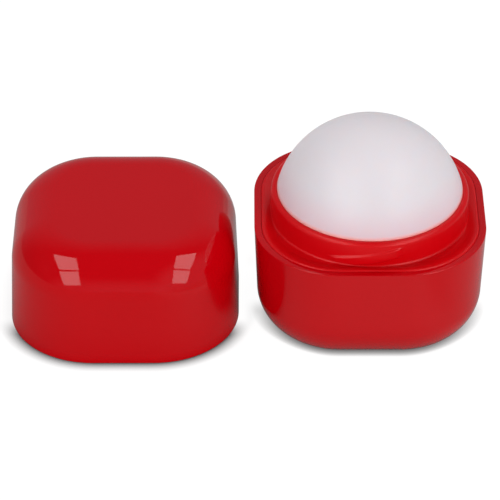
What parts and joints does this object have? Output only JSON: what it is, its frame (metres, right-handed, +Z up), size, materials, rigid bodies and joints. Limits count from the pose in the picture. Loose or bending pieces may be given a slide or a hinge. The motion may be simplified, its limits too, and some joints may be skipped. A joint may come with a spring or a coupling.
{
  "type": "lip balm container",
  "caption": "Rounded-square red plastic box of lip balm: the screw cap is off and stands beside the base, whose round neck holds a white dome of balm.",
  "frame": {"origin": "on the surface that both halves stand on, midway between the base and the cap", "axes": "+X from the cap towards the base, +Y away from the picture's viewer, +Z up"},
  "size_m": [0.0826, 0.0418, 0.0367],
  "materials": {
    "base_plastic": "moulded, high gloss",
    "cap_plastic": "moulded, high gloss",
    "neck_plastic": "moulded, gloss",
    "liner_plastic": "moulded, satin",
    "cage_plastic": "moulded, matt",
    "balm_wax": "smooth cast wax, satin",
    "label_paper": "bare coated paper"
  },
  "bodies": {
    "base": {"base_shell": "base_plastic", "neck_ring": "neck_plastic", "balm_cage": "cage_plastic", "lip_balm": "balm_wax", "base_label": "label_paper"},
    "cap": {"cap_shell": "cap_plastic", "cap_liner": "liner_plastic"}
  },
  "joints": [
    {"name": "cap_lift", "type": "slide", "parent": "base", "child": "cap", "axis": [0, 0, 1], "range_m": [0, 0.045]}
  ]
}
